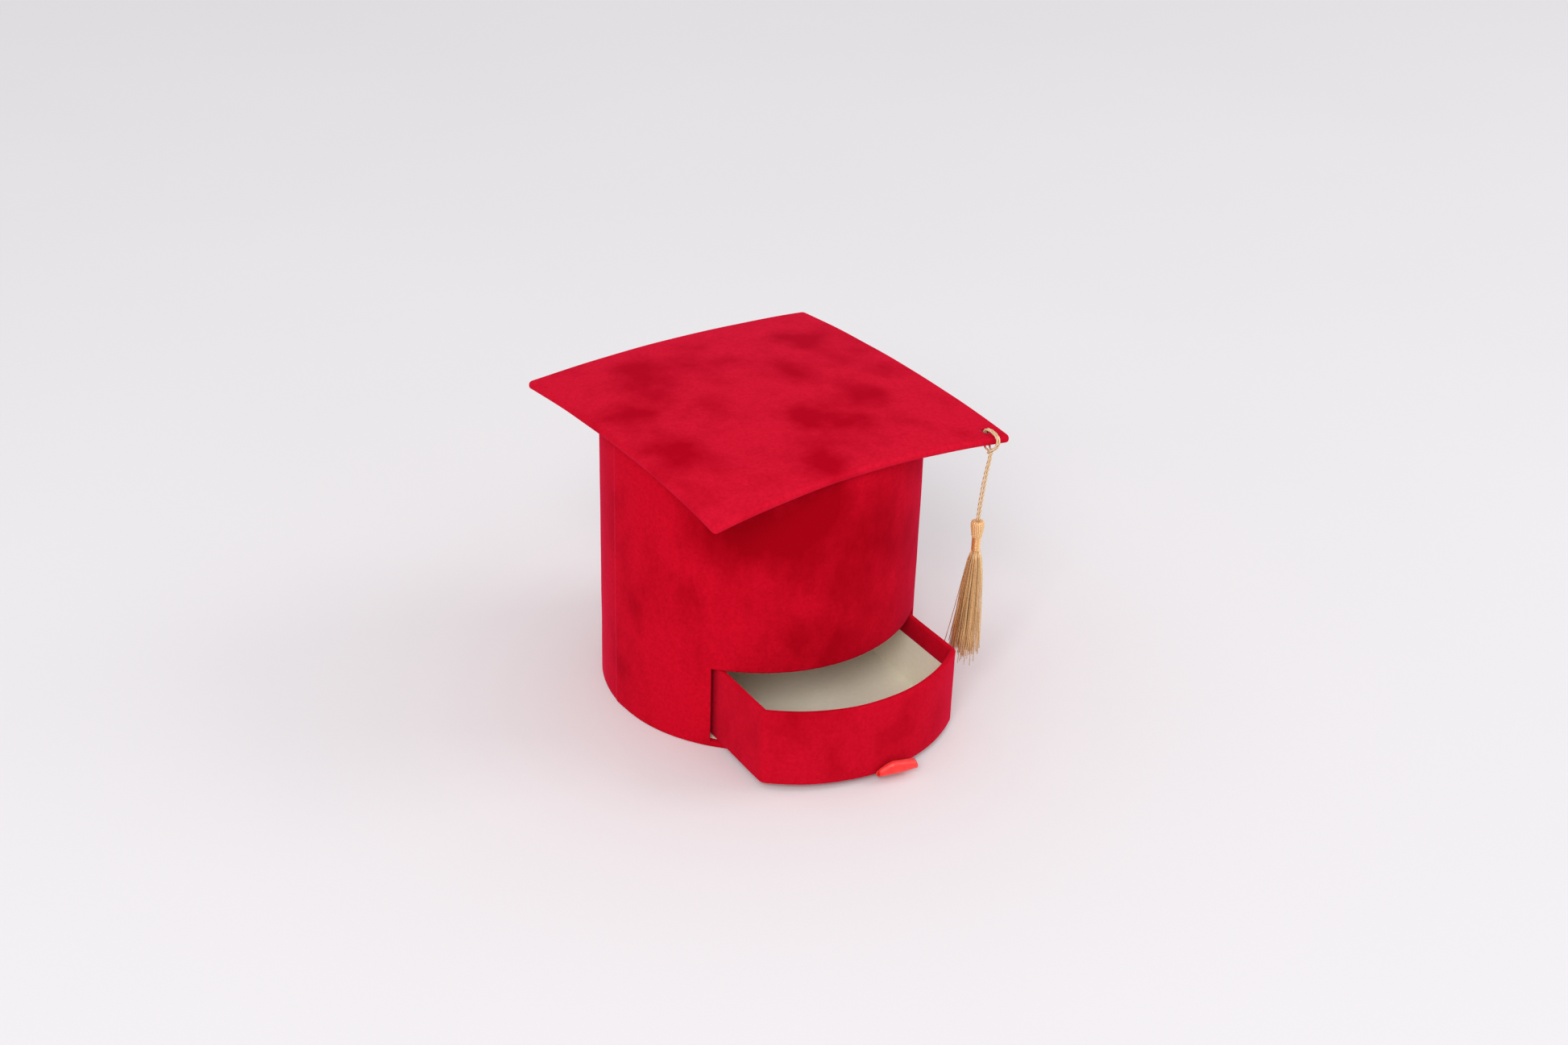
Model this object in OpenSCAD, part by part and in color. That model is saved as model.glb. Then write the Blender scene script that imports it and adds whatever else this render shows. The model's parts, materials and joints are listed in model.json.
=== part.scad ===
// Keepsake box in the shape of a graduation cap.
// A round drum stands on its base board. Its upper room is closed by a lift-off square lid whose
// round collar drops into the drum, and a curved-front drawer slides out of the foot of the drum.
// The origin is the centre of the underside, +Z is up and the drawer pulls out along -Y.

/* [Drum] */
// Outer diameter of the drum over its velvet
drum_d = 150; // [140:1:160]
// Height of the drum up to its rim
drum_h = 139.7; // [130:0.1:150]
// Thickness of the greyboard tube
tube_t = 2.2; // [1.6:0.1:3]
// Thickness of the velvet paper
velvet_t = 0.6; // [0.4:0.1:0.8]
// Thickness of the cream lining paper
paper_t = 0.4; // [0.2:0.1:0.6]
// Thickness of the flat boards in the drum
board_t = 2; // [1.5:0.1:2.5]

/* [Drawer] */
// Half the width of the drawer
drawer_half_w = 52.3; // [48:0.1:54]
// Height of the drawer from its underside to its rim
drawer_h = 38.5; // [30:0.1:40]
// Distance from the drum's axis to the back of the closed drawer
drawer_back = 46; // [40:0.5:46.5]
// Radius of the curved drawer front
drawer_front_r = 79; // [75:0.5:85]
// How far the drawer stands open at rest
drawer_open = 35; // [0:1:40]
// Thickness of the drawer's wall boards
wall_t = 1.6; // [1.2:0.1:2]
// Thickness of the drawer's floor board
floor_t = 2.6; // [2:0.1:3]
// Depth of the velvet turned in over the drawer's rim
turn_in = 11; // [6:1:15]
// Side gap between the slot and the drawer
slot_side_gap = 2.7; // [1:0.1:3]
// Gap over and under the drawer
slot_gap = 0.3; // [0.3:0.1:0.6]

/* [Lid] */
// Side length of the square lid
lid_w = 158; // [150:1:170]
// Height of the lid's crown over the table
lid_top = 147; // [146.5:0.1:148]
// Radius of the lid's dome
dome_r = 900; // [880:10:1000]
// Thickness of the lid's greyboard
lid_board_t = 2.6; // [2:0.1:3]
// Radius of the lid's corners
lid_corner_r = 2; // [1:0.5:4]
// Turn of the lid on the drum, in degrees
lid_turn = 3; // [0:1:10]
// Depth of the collar that drops into the drum
collar_h = 12; // [8:1:20]
// Diameter of the hole that the tassel cord runs through
hole_d = 3.6; // [3.6:0.1:5]

/* [Tassel] */
// Diameter of one strand of the tassel cord
cord_d = 0.9; // [0.8:0.05:1]
// Diameter of the tassel's head
head_d = 4.8; // [4:0.1:6]
// Diameter of the binding under the head
binding_d = 3.4; // [2.5:0.1:4]
// Diameter of the skirt at its lower end
skirt_d = 15; // [10:1:16]
// Height of the tassel's lower end over the table
skirt_bottom = 26; // [20:1:30]

/* [Pull tab] */
// Width of the satin ribbon
tab_w = 18.5; // [12:0.5:20]
// Distance from the drawer's middle to the ribbon's middle
tab_x = 5.5; // [0:0.1:8]
// Thickness of the ribbon
ribbon_t = 0.4; // [0.3:0.1:0.5]

/* [Hidden] */
$fn = 96;
arc_fn = 720;          // full circles that give long shallow arcs
gap = 0.3;             // clearance between pieces that move past each other
eps = 1;               // how far a cutter runs past the face it cuts

// Radii of the drum, from outside to inside
drum_r = drum_d / 2;
tube_r = drum_r - velvet_t;
bore_r = tube_r - tube_t;
room_r = bore_r - paper_t;

// Heights in the drum's foot
base_top = velvet_t + board_t;
bay_floor = base_top + paper_t;
drawer_z = bay_floor + slot_gap;
drawer_top = drawer_z + drawer_h;
slot_top = drawer_top + slot_gap;
shelf_z = slot_top + velvet_t + 0.2;
shelf_top = shelf_z + board_t + paper_t;

// The slot in the drum wall, and the cut in the tube that leaves room for the turned-in velvet
slot_half_w = drawer_half_w + slot_side_gap;
guide_in = drawer_half_w + 0.5;
guide_front = 40;
stop_half_w = 50;

// The drawer's own outline, inwards from the velvet
skin_t = 0.5;
drawer_front_y = -(drum_r + drawer_open);
drawer_back_y = drawer_back - drawer_open;
front_centre_y = drawer_front_y + drawer_front_r;
floor_z = drawer_z + skin_t;
floor_top = floor_z + floor_t;

// The lid's shells, from the top down
dome_z = lid_top - dome_r;
board_r = dome_r - velvet_t;
under_r = board_r - lid_board_t;
lid_low_r = under_r - velvet_t;
turn_under = 14;
collar_r = room_r - gap;
collar_t = 1.6;
collar_z = 140.2 - collar_h;

// The tassel's places in the lid's own directions
hole_x = 72.5;
hole_y = -69.5;
head_x = 66.9;
head_y = -81;
head_top = 99.6;
head_h = 8;
binding_h = 7;

// Route of the hitch from the hinge point, under the lid, up the hole and over the edge.
// Each point is x, y, z and half the distance between the two strands.
hitch_half = [
    [69.3, -80.9, 133.4, 0.5], [69.5, -79.4, 134.2, 0.8], [70.0, -77.4, 135.0, 1.2],
    [70.7, -75.3, 135.5, 1.4], [71.5, -73.2, 135.8, 1.2], [72.2, -71.2, 136.2, 0.8],
    [72.5, -69.9, 137.2, 0.5], [72.5, -69.4, 138.7, 0.5], [72.5, -69.4, 140.3, 0.5],
    [72.5, -69.9, 141.8, 0.5], [72.6, -71.2, 142.8, 0.5], [72.9, -73.0, 143.0, 0.5],
    [73.2, -75.0, 142.7, 0.5], [73.4, -77.0, 142.2, 0.5], [73.5, -78.9, 141.5, 0.5],
    [73.3, -80.4, 140.3, 0.5], [72.8, -81.2, 138.7, 0.6], [71.9, -81.5, 136.9, 0.8],
    [70.7, -81.6, 135.2, 1.2]
];
// The turn of the hitch behind the hanging strands
hitch_turn = [
    [68.0, -81.1, 133.6], [68.2, -80.0, 132.4], [69.3, -79.6, 131.9], [70.4, -80.0, 132.4], [70.7, -81.1, 133.6]
];
// Route of the hanging strands from the hinge point to the tassel's head
hang_route = [
    [69.3, -81, 132.9], [69.1, -81, 130.5], [68.8, -81, 128], [68.5, -81, 125.5], [68.2, -81, 123],
    [67.9, -81, 120.5], [67.7, -81, 118], [67.5, -81, 115.5], [67.3, -81, 113], [67.2, -81, 110.5],
    [67.1, -81, 108], [67.0, -81, 105.5], [66.9, -81, 103], [66.9, -81, 99.9]
];
hang_half_gap = 0.5;
cord_sides = 8;

// Section of the ribbon loop: x is the distance ahead of the drawer front, y the height
tab_outline = [
    [0, 3.4], [0.4, 5.4], [1.2, 7.6], [2.4, 9.2], [3.8, 9.7], [5.2, 9], [6.2, 7.5], [6.4, 6], [5.8, 4.7],
    [4.3, 3.8], [2.2, 3.4]
];
tab_hollow = [
    [0.6, 4], [0.9, 5.3], [1.6, 7.3], [2.6, 8.8], [3.8, 9.2], [4.9, 8.6], [5.7, 7.3], [5.9, 6.1], [5.4, 5.1],
    [4.1, 4.3], [2.2, 3.9]
];
tab_gap = 0.5;
root_l = 9;

velvet = [0.76, 0.04, 0.13];
cream = [0.84, 0.79, 0.68];
greyboard = [0.62, 0.56, 0.47];
satin = [0.9, 0.12, 0.1];
gold = [0.82, 0.66, 0.42];

function strand(route, side) = [for (p = route) [p[0] + side * p[3], p[1], p[2]]];
function reversed(v) = [for (i = [len(v) - 1:-1:0]) v[i]];
function shifted(v, dx) = [for (p = v) p + [dx, 0, 0]];
function unit(v) = v / norm(v);
function tangent(v, i) = unit(v[min(i + 1, len(v) - 1)] - v[max(i - 1, 0)]);
// A ring's first direction stays square to the route's own side direction
function ring_side(t, side) = unit(side - (side * t) * t);

// A round cord along a route, with one ring of corners at each point
module cord(route, d, side = [0.2, 1, 0.1]) {
    n = len(route);
    corners = [
        for (i = [0:n - 1])
            let (t = tangent(route, i), u = ring_side(t, side), w = cross(t, u))
                for (k = [0:cord_sides - 1])
                    route[i] + d / 2 * (cos(k * 360 / cord_sides) * u + sin(k * 360 / cord_sides) * w)
    ];
    sides = [
        for (i = [0:n - 2], k = [0:cord_sides - 1])
            let (a = i * cord_sides + k, b = i * cord_sides + (k + 1) % cord_sides)
                [a, a + cord_sides, b + cord_sides, b]
    ];
    cap_in = [[for (k = [0:cord_sides - 1]) k]];
    cap_out = [[for (k = [cord_sides - 1:-1:0]) (n - 1) * cord_sides + k]];
    polyhedron(points = corners, faces = concat(cap_in, sides, cap_out), convexity = 4);
}

module ring(r_out, r_in, z, h) {
    translate([0, 0, z]) difference() {
        cylinder(r = r_out, h = h);
        translate([0, 0, -eps]) cylinder(r = r_in, h = h + 2 * eps);
    }
}

// A box that is centred on X
module block(half_w, y0, y1, z0, z1) {
    translate([-half_w, y0, z0]) cube([2 * half_w, y1 - y0, z1 - z0]);
}

module rounded_square(w, r) {
    square([w, w - 2 * r], center = true);
    square([w - 2 * r, w], center = true);
    for (sx = [-1, 1], sy = [-1, 1]) translate([sx * (w / 2 - r), sy * (w / 2 - r)]) circle(r = r, $fn = 32);
}

// The space under one of the lid's concentric domes, out to a given radius
module under_dome(r, reach, z0) {
    rotate_extrude() intersection() {
        translate([0, z0]) square([reach, lid_top]);
        translate([0, dome_z]) circle(r = r, $fn = arc_fn);
    }
}

// A curved square sheet between two domes
module dome_sheet(r_top, r_low, w, corner) {
    difference() {
        intersection() {
            under_dome(r_top, lid_w, 100);
            translate([0, 0, 100]) linear_extrude(height = 60) rounded_square(w, corner);
        }
        under_dome(r_low, lid_w + eps, 90);
    }
}

module in_lid() {
    rotate([0, 0, lid_turn]) children();
}

module cord_hole() {
    translate([hole_x, hole_y, 100]) cylinder(d = hole_d, h = 60, $fn = 32);
}

// The drawer's outline in plan, inwards from the outside by a given distance
module drawer_plan(inset) {
    intersection() {
        translate([0, front_centre_y]) circle(r = drawer_front_r - inset, $fn = arc_fn);
        translate([-(drawer_half_w - inset), drawer_front_y])
            square([2 * (drawer_half_w - inset), drawer_back_y - inset - drawer_front_y]);
    }
}

module drawer_prism(inset, z0, z1) {
    translate([0, 0, z0]) linear_extrude(height = z1 - z0) drawer_plan(inset);
}

module base_cover() {
    color(velvet) cylinder(r = tube_r, h = velvet_t);
}

module base_board() {
    color(greyboard) translate([0, 0, velvet_t]) cylinder(r = bore_r, h = board_t);
}

module bay_floor_paper() {
    color(cream) translate([0, 0, base_top]) cylinder(r = bore_r, h = paper_t);
}

module drum_tube() {
    color(greyboard) difference() {
        ring(tube_r, bore_r, velvet_t, drum_h - 2 * velvet_t);
        block(slot_half_w + velvet_t, -drum_d, -guide_front, bay_floor - velvet_t, slot_top + velvet_t);
    }
}

module drum_wrap() {
    color(velvet) difference() {
        union() {
            ring(drum_r, tube_r, velvet_t / 2, drum_h - velvet_t / 2);
            ring(drum_r, bore_r, drum_h - velvet_t, velvet_t);
            intersection() {
                ring(drum_r, bore_r, velvet_t, drum_h - velvet_t);
                block(slot_half_w + velvet_t, -drum_d, -guide_front, bay_floor - velvet_t, slot_top + velvet_t);
            }
        }
        block(slot_half_w, -drum_d, -guide_front, bay_floor, slot_top);
    }
}

module drum_lining() {
    color(cream) ring(bore_r, room_r, shelf_top, drum_h - 2 - shelf_top);
}

module bay_guide_left() {
    color(greyboard) translate([-guide_in - board_t, -guide_front, bay_floor])
        cube([board_t, guide_front + drawer_back, shelf_z - bay_floor]);
}

module bay_guide_right() {
    color(greyboard) translate([guide_in, -guide_front, bay_floor])
        cube([board_t, guide_front + drawer_back, shelf_z - bay_floor]);
}

module bay_back_stop() {
    color(greyboard) block(stop_half_w, drawer_back + 0.5, drawer_back + 0.5 + board_t, bay_floor, shelf_z);
}

module shelf_board() {
    color(greyboard) translate([0, 0, shelf_z]) cylinder(r = bore_r, h = board_t);
}

module shelf_paper() {
    color(cream) translate([0, 0, shelf_z + board_t]) cylinder(r = bore_r, h = paper_t);
}

module drawer_floor() {
    color(greyboard) drawer_prism(skin_t, floor_z, floor_top);
}

// A side board stands on the floor board and runs from the back board to the curved front
module drawer_side(side) {
    intersection() {
        drawer_prism(skin_t, floor_top, drawer_top - skin_t);
        translate([side > 0 ? drawer_half_w - skin_t - wall_t : -drawer_half_w, drawer_front_y, 0])
            cube([skin_t + wall_t, drawer_back_y - skin_t - wall_t - drawer_front_y, drum_d]);
        translate([0, front_centre_y, 0]) cylinder(r = drawer_front_r - skin_t - wall_t, h = drum_d, $fn = arc_fn);
    }
}

module drawer_wall_left() {
    color(greyboard) drawer_side(-1);
}

module drawer_wall_right() {
    color(greyboard) drawer_side(1);
}

module drawer_wall_back() {
    color(greyboard) block(
        drawer_half_w - skin_t,
        drawer_back_y - skin_t - wall_t, drawer_back_y - skin_t, floor_top, drawer_top - skin_t
    );
}

module drawer_front() {
    color(greyboard) difference() {
        intersection() {
            drawer_prism(skin_t, floor_top, drawer_top - skin_t);
            block(drawer_half_w, drawer_front_y, -drum_r / 2, floor_top, drum_d);
        }
        translate([0, front_centre_y, 0]) cylinder(r = drawer_front_r - skin_t - wall_t, h = drum_d, $fn = arc_fn);
    }
}

module tab_pocket(grow) {
    translate([tab_x - tab_w / 2 - grow, drawer_front_y - eps, drawer_z + skin_t - ribbon_t])
        cube([tab_w + 2 * grow, root_l + eps + grow, ribbon_t]);
}

module drawer_wrap() {
    color(velvet) difference() {
        drawer_prism(0, drawer_z, drawer_top);
        drawer_prism(skin_t, floor_z, drawer_top - skin_t);
        drawer_prism(2 * skin_t + wall_t, floor_z, drawer_top + eps);
        tab_pocket(0);
    }
    color(velvet) difference() {
        drawer_prism(skin_t + wall_t, drawer_top - turn_in, drawer_top - skin_t);
        drawer_prism(2 * skin_t + wall_t, drawer_top - turn_in - eps, drawer_top);
    }
}

module drawer_wall_lining() {
    color(cream) difference() {
        drawer_prism(skin_t + wall_t, floor_top, drawer_top - turn_in);
        drawer_prism(skin_t + wall_t + paper_t, floor_top - eps, drawer_top);
    }
}

module drawer_floor_paper() {
    color(cream) drawer_prism(skin_t + wall_t + paper_t, floor_top, floor_top + paper_t);
}

module tab_root() {
    color(satin) intersection() {
        tab_pocket(0);
        drawer_prism(0.2, drawer_z, drawer_top);
    }
}

module pull_tab() {
    color(satin) translate([tab_x - tab_w / 2, drawer_front_y - tab_gap, 0])
        rotate([90, 0, 90]) mirror([1, 0, 0]) linear_extrude(height = tab_w) difference() {
            polygon(tab_outline);
            polygon(tab_hollow);
        }
}

module lid_board() {
    color(greyboard) in_lid() difference() {
        dome_sheet(board_r, under_r, lid_w - 2 * velvet_t, lid_corner_r - velvet_t);
        cord_hole();
    }
}

module lid_wrap() {
    color(velvet) in_lid() difference() {
        dome_sheet(dome_r, lid_low_r, lid_w, lid_corner_r);
        dome_sheet(board_r, under_r, lid_w - 2 * velvet_t, lid_corner_r - velvet_t);
        intersection() {
            under_dome(board_r, lid_w, 90);
            translate([0, 0, 100]) linear_extrude(height = 60)
                square(lid_w - 2 * turn_under, center = true);
        }
        cord_hole();
    }
}

module lid_underside() {
    color(velvet) in_lid() dome_sheet(under_r, lid_low_r, lid_w - 2 * turn_under, lid_corner_r);
}

module lid_collar() {
    color(greyboard) intersection() {
        ring(collar_r - velvet_t, collar_r - velvet_t - collar_t, collar_z, lid_top - collar_z);
        under_dome(lid_low_r, drum_r, collar_z - eps);
    }
}

module collar_wrap() {
    color(velvet) intersection() {
        difference() {
            ring(collar_r, collar_r - 2 * velvet_t - collar_t, collar_z - velvet_t, lid_top - collar_z);
            ring(collar_r - velvet_t, collar_r - velvet_t - collar_t, collar_z, lid_top - collar_z);
        }
        under_dome(lid_low_r, drum_r, collar_z - 2 * eps);
    }
}

module lid_paper() {
    color(cream) difference() {
        under_dome(lid_low_r, collar_r - 2 * velvet_t - collar_t, collar_z);
        under_dome(lid_low_r - paper_t, drum_r, collar_z - eps);
    }
}

module hitch_cord() {
    route = concat(strand(hitch_half, -1), hitch_turn, reversed(strand(hitch_half, 1)));
    color(gold) in_lid() cord(route, cord_d, [1, 0.15, 0.1]);
}

module cord_strand_left() {
    color(gold) in_lid() cord(shifted(hang_route, -hang_half_gap), cord_d);
}

module cord_strand_right() {
    color(gold) in_lid() cord(shifted(hang_route, hang_half_gap), cord_d);
}

module at_tassel(z) {
    in_lid() translate([head_x, head_y, z]) children();
}

module tassel_head() {
    r = head_d / 2;
    color(gold) at_tassel(head_top - head_h) {
        translate([0, 0, r]) cylinder(r = r, h = head_h - 2 * r);
        translate([0, 0, head_h - r]) sphere(r = r);
        intersection() {
            translate([0, 0, r]) sphere(r = r);
            cylinder(r = r, h = head_h);
        }
    }
}

module tassel_binding() {
    color(gold) at_tassel(head_top - head_h - binding_h) cylinder(d = binding_d, h = binding_h);
}

module tassel_skirt() {
    color(gold) at_tassel(skirt_bottom)
        cylinder(d1 = skirt_d, d2 = binding_d, h = head_top - head_h - binding_h - skirt_bottom);
}

base_cover();
base_board();
bay_floor_paper();
drum_tube();
drum_wrap();
drum_lining();
bay_guide_left();
bay_guide_right();
bay_back_stop();
shelf_board();
shelf_paper();
drawer_floor();
drawer_wall_left();
drawer_wall_right();
drawer_wall_back();
drawer_front();
drawer_wrap();
drawer_wall_lining();
drawer_floor_paper();
tab_root();
pull_tab();
lid_board();
lid_wrap();
lid_underside();
lid_collar();
collar_wrap();
lid_paper();
hitch_cord();
cord_strand_left();
cord_strand_right();
tassel_head();
tassel_binding();
tassel_skirt();
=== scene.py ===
# %% [markdown]
# # A velvet keepsake box in the shape of a graduation cap
# The CAD frame holds every board, paper and joint of the box. This script dresses it: short-pile
# velvet with soft rounded edges, a satin pull ribbon, twisted gold cord and a tassel of loose threads.
# Everything is in metres and in the frame's own directions: +Z is up and the drawer pulls towards -Y.

# %% Load the frame
import json
import math
import random

import bmesh
import bpy
from mathutils import Matrix, Vector, noise


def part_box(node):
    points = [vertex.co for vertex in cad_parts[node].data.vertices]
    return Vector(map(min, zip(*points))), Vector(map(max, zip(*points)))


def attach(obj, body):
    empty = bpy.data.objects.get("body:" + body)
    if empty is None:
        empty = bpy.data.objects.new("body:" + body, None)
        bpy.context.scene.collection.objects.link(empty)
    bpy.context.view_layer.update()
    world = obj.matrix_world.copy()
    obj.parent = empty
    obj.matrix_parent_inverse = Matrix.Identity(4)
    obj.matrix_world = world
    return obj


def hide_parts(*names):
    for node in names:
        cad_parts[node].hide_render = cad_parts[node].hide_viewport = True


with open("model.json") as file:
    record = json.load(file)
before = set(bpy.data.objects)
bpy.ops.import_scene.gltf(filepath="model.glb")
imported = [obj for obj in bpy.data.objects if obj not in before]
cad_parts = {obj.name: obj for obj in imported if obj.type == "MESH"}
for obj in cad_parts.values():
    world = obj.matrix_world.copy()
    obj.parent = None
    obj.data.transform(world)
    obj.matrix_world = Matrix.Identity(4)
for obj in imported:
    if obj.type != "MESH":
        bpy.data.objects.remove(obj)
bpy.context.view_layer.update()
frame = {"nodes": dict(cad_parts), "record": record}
nodes = frame["nodes"]
MM = 0.001
NEAR = 1e-6

# %% [markdown]
# ## The camera
# The camera stands about 33 degrees to the left of the drawer and 29 degrees up, far enough away that
# the box stays small in a wide pale field. A camera can be turned by angles or aimed by a constraint;
# here its three directions are written down and become the rows of its matrix, so that its slight roll
# is exact and nothing has to be evaluated later.

# %% Camera
EYE = Vector((-473.5, -756.2, 574.9)) * MM
LOOK = Vector((0.47339, 0.73484, -0.48571))
UP = Vector((0.23522, 0.42593, 0.87364))
SENSOR = 36
FOCAL = 49.606

camera_data = bpy.data.cameras.new("camera")
camera = bpy.data.objects.new("camera", camera_data)
bpy.context.scene.collection.objects.link(camera)
right = LOOK.cross(UP).normalized()
upright = right.cross(LOOK).normalized()
camera.matrix_world = Matrix((right, upright, -LOOK.normalized())).transposed().to_4x4()
camera.location = EYE
camera_data.sensor_width = SENSOR
camera_data.lens = FOCAL
camera_data.clip_start = 0.01
bpy.context.scene.camera = camera
print("camera lens", round(FOCAL, 1), "mm")


# %% [markdown]
# ## Tools for the finishes
# A material is a small graph of nodes. It could be joined up socket by socket, but these helpers make a
# node, set its sockets by name and join it, so that each finish below reads like a recipe. Every pattern
# reads Object coordinates, which are metres on the piece itself, so a scale of 1000 means about one
# feature for each millimetre.

# %% Node helpers
def new_material(name):
    material = bpy.data.materials.new(name)
    material.use_nodes = True
    tree = material.node_tree
    tree.nodes.clear()
    out = tree.nodes.new("ShaderNodeOutputMaterial")
    shader = tree.nodes.new("ShaderNodeBsdfPrincipled")
    tree.links.new(shader.outputs["BSDF"], out.inputs["Surface"])
    return material, tree, shader


def add(tree, kind, inputs=None, **settings):
    made = tree.nodes.new(kind)
    for key, value in settings.items():
        setattr(made, key, value)
    for key, value in (inputs or {}).items():
        if isinstance(value, bpy.types.NodeSocket):
            tree.links.new(value, made.inputs[key])
        else:
            made.inputs[key].default_value = value
    return made


def place(tree):
    return add(tree, "ShaderNodeTexCoord").outputs["Object"]


def noise_of(tree, vector, scale, detail=3.0, roughness=0.5):
    made = add(
        tree, "ShaderNodeTexNoise",
        {"Vector": vector, "Scale": scale, "Detail": detail, "Roughness": roughness},
    )
    return made.outputs["Fac"]


def between(tree, fac, low, high, new_low=0.0, new_high=1.0):
    made = add(
        tree, "ShaderNodeMapRange",
        {"Value": fac, "From Min": low, "From Max": high, "To Min": new_low, "To Max": new_high},
    )
    return made.outputs["Result"]


def blend_colour(tree, fac, first, second):
    made = tree.nodes.new("ShaderNodeMix")
    made.data_type = "RGBA"
    by_kind = {i.identifier: i for i in made.inputs}
    for key, value in (("Factor_Float", fac), ("A_Color", first), ("B_Color", second)):
        if isinstance(value, bpy.types.NodeSocket):
            tree.links.new(value, by_kind[key])
        else:
            by_kind[key].default_value = value
    return next(o for o in made.outputs if o.identifier == "Result_Color")


def raised(tree, shader, height, strength, distance):
    bump = add(tree, "ShaderNodeBump", {"Height": height, "Strength": strength, "Distance": distance})
    tree.links.new(bump.outputs["Normal"], shader.inputs["Normal"])


print("finish tools: new_material, add, place, noise_of, between, blend_colour, raised")

# %% [markdown]
# ## Velvet
# The skin is velvet paper: very short pile glued on paper. It is matt, its edges catch a faint pink
# sheen, and where a hand has brushed the pile the other way there are soft darker patches. Hair could
# make the pile, but it is shorter than a millimetre, so grain and a tinted sheen do it for far less.
# Each velvet mesh carries its patches as a point attribute; on the drum it also holds painted shade
# under the lid and on the side to the camera's right. The finish mixes two crimsons by it, frayed by a
# cloudy noise, and breaks them with the fine grain of the pile.

# %% Velvet finish
CLOUDS_PER_METRE = 48
PILE_PER_METRE = 620
PILE_HEIGHT = 0.3 * MM


def velvet(name, bright, deep, clouds):
    material, tree, shader = new_material(name)
    spot = place(tree)
    nap_and_shade = add(tree, "ShaderNodeAttribute", attribute_name="nap_and_shade").outputs["Fac"]
    stretched = add(tree, "ShaderNodeMapping", {"Vector": spot, "Scale": (1, 1, 0.6)}).outputs["Vector"]
    drifts = noise_of(tree, stretched, CLOUDS_PER_METRE, 6.0, 0.66)
    cloudy = between(tree, drifts, 0.3, 0.7, -clouds, clouds)
    frayed = add(tree, "ShaderNodeMath", {0: nap_and_shade, 1: cloudy}, operation="ADD").outputs["Value"]
    patch = between(tree, frayed, -0.02, 0.80)
    grain = noise_of(tree, spot, PILE_PER_METRE, 5.0, 0.75)
    mottled = blend_colour(tree, patch, bright, deep)
    speck = between(tree, grain, 0.38, 0.70, 0.0, 0.5)
    colour = blend_colour(tree, speck, mottled, deep)
    tree.links.new(colour, shader.inputs["Base Color"])
    tree.links.new(between(tree, grain, 0.3, 0.7, 0.85, 1.0), shader.inputs["Roughness"])
    shader.inputs["Specular IOR Level"].default_value = 0.0
    shader.inputs["Sheen Weight"].default_value = 0.42
    shader.inputs["Sheen Roughness"].default_value = 0.35
    shader.inputs["Sheen Tint"].default_value = (1.0, 0.06, 0.18, 1)
    raised(tree, shader, grain, 0.35, PILE_HEIGHT)
    return material


velvet_flat = velvet("lid_velvet", (0.62, 0.008, 0.029, 1), (0.40, 0.001, 0.009, 1), 0.34)
velvet_round = velvet("drum_velvet", (0.58, 0.004, 0.018, 1), (0.33, 0.001, 0.006, 1), 0.38)
velvet_box = velvet("drawer_velvet", (0.57, 0.005, 0.020, 1), (0.36, 0.001, 0.007, 1), 0.34)
print("velvet:", velvet_flat.name, velvet_round.name, velvet_box.name)


# %% [markdown]
# ## Paper and board
# The lining is uncoated cream paper with a faint fibre mottle. The boards behind it are greyboard, which
# shows only in the gaps. Both are pressed fibre, so one recipe serves both: a fine noise for the fibres,
# multiplied by a broad one, so that some places look denser than others.

# %% Lining paper and greyboard
def fibrous(name, pale, dark, size, rough):
    material, tree, shader = new_material(name)
    spot = place(tree)
    fibres = noise_of(tree, spot, size, 6.0, 0.65)
    cloud = noise_of(tree, spot, 30, 2.0)
    mixed = add(tree, "ShaderNodeMath", {0: fibres, 1: cloud}, operation="MULTIPLY").outputs["Value"]
    tree.links.new(
        blend_colour(tree, between(tree, mixed, 0.15, 0.40), dark, pale), shader.inputs["Base Color"]
    )
    tree.links.new(between(tree, fibres, 0.3, 0.7, rough, rough + 0.12), shader.inputs["Roughness"])
    shader.inputs["Specular IOR Level"].default_value = 0.3
    raised(tree, shader, fibres, 0.25, 0.0002)
    return material


cream_paper = fibrous("cream_lining", (0.93, 0.87, 0.72, 1), (0.86, 0.80, 0.65, 1), 420, 0.62)
greyboard = fibrous("raw_greyboard", (0.40, 0.34, 0.26, 1), (0.26, 0.21, 0.15, 1), 700, 0.8)
print("papers:", cream_paper.name, greyboard.name)


# %% [markdown]
# ## Satin
# The pull is woven satin ribbon, with fine threads that run along it and a stretched gloss. A wave on the
# ribbon's own UV map, called `weave`, follows the loop round its bends, which a pattern in space
# couldn't do.

# %% Satin ribbon
def satin(name, pale, deep):
    material, tree, shader = new_material(name)
    uv = add(tree, "ShaderNodeUVMap", uv_map="weave").outputs["UV"]
    threads = add(
        tree, "ShaderNodeTexWave", {"Vector": uv, "Scale": 60, "Distortion": 0.6, "Detail": 1.0},
        bands_direction="X",
    ).outputs["Fac"]
    soft = noise_of(tree, uv, 6, 2.0)
    colour = blend_colour(tree, between(tree, soft, 0.3, 0.7), pale, deep)
    tree.links.new(colour, shader.inputs["Base Color"])
    tree.links.new(between(tree, threads, 0, 1, 0.30, 0.42), shader.inputs["Roughness"])
    shader.inputs["Specular IOR Level"].default_value = 0.6
    shader.inputs["Anisotropic"].default_value = 0.5
    shader.inputs["Sheen Weight"].default_value = 0.15
    raised(tree, shader, threads, 0.2, 0.00008)
    return material


red_satin = satin("satin_ribbon", (0.98, 0.020, 0.015, 1), (0.80, 0.008, 0.008, 1))
print("ribbon:", red_satin.name)
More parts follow.
